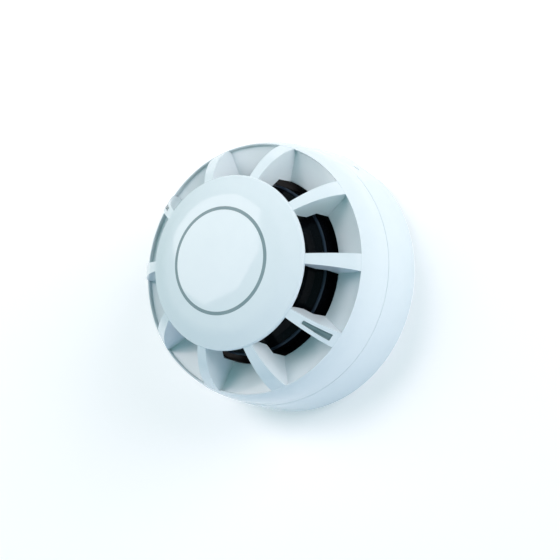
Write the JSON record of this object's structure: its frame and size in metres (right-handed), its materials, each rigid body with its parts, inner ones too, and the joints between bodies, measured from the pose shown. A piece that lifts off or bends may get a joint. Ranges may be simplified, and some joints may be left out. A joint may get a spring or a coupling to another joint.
{
  "type": "heat detector",
  "caption": "Round ceiling-mounted heat detector: ribbed, vented head with a domed cap, twisted on to a wall or ceiling base.",
  "frame": {"origin": "centre of the base's back face, on the detector's axis", "axes": "+Z along the axis, out of the mounting face towards the cap; +X towards one of the two light-pipe ribs; +Y towards the flat on the base's skirt"},
  "size_m": [0.104, 0.1031, 0.0554],
  "materials": {
    "white_housing": "moulded white polycarbonate, semi-gloss, faint sparked texture",
    "white_inner": "moulded off-white polycarbonate, satin",
    "black_drum": "moulded black ABS, semi-matte",
    "ring_grey": "grey inlaid ring, satin",
    "smoky_clear": "clear acrylic light pipe, slightly smoky",
    "led_red": "white surface-mount LED body with a clear red lens",
    "plated_steel": "zinc-plated steel",
    "contact_bronze": "phosphor bronze strip",
    "seal_rubber": "black sealing rubber",
    "board_green": "green solder mask on glass-epoxy board",
    "chip_black": "black epoxy component bodies",
    "capacitor_blue": "blue sleeved capacitor",
    "capacitor_yellow": "yellow film capacitor box",
    "ceramic_tan": "tan ceramic capacitor bodies",
    "thermistor_glass": "dark glass-encapsulated bead on plated leads"
  },
  "bodies": {
    "base": {"base": "white_housing", "contact_spring_1": "contact_bronze", "contact_spring_2": "contact_bronze", "contact_spring_3": "contact_bronze", "contact_spring_4": "contact_bronze", "clamp_plates": "plated_steel", "terminal_screws": "plated_steel"},
    "lock": {"lock_slider": "white_inner"},
    "head": {"chassis": "white_inner", "contact_blade_1": "plated_steel", "contact_blade_2": "plated_steel", "contact_blade_3": "plated_steel", "contact_blade_4": "plated_steel", "cover_seal": "seal_rubber", "cover_screws": "plated_steel", "board": "board_green", "board_screws": "plated_steel", "led_1": "led_red", "led_2": "led_red", "light_pipe_1": "smoky_clear", "light_pipe_2": "smoky_clear", "airflow_drum": "black_drum", "sense_thermistor": "thermistor_glass", "reference_thermistor": "thermistor_glass", "microcontroller": "chip_black", "bridge_rectifier": "chip_black", "storage_capacitor": "capacitor_blue", "film_capacitor": "capacitor_yellow", "ceramic_capacitors": "ceramic_tan", "resistors": "chip_black", "line_transistor": "chip_black", "choke": "chip_black", "cover": "white_housing", "cap_ring": "ring_grey"}
  },
  "joints": [
    {"name": "head_twist", "type": "hinge", "parent": "base", "child": "head", "pos_m": [0, 0, 0.01], "axis": [0, 0, 1], "range_deg": [0, 20]},
    {"name": "lock_slide", "type": "slide", "parent": "base", "child": "lock", "axis": [0, -1, 0], "range_m": [0, 0.0022]}
  ]
}
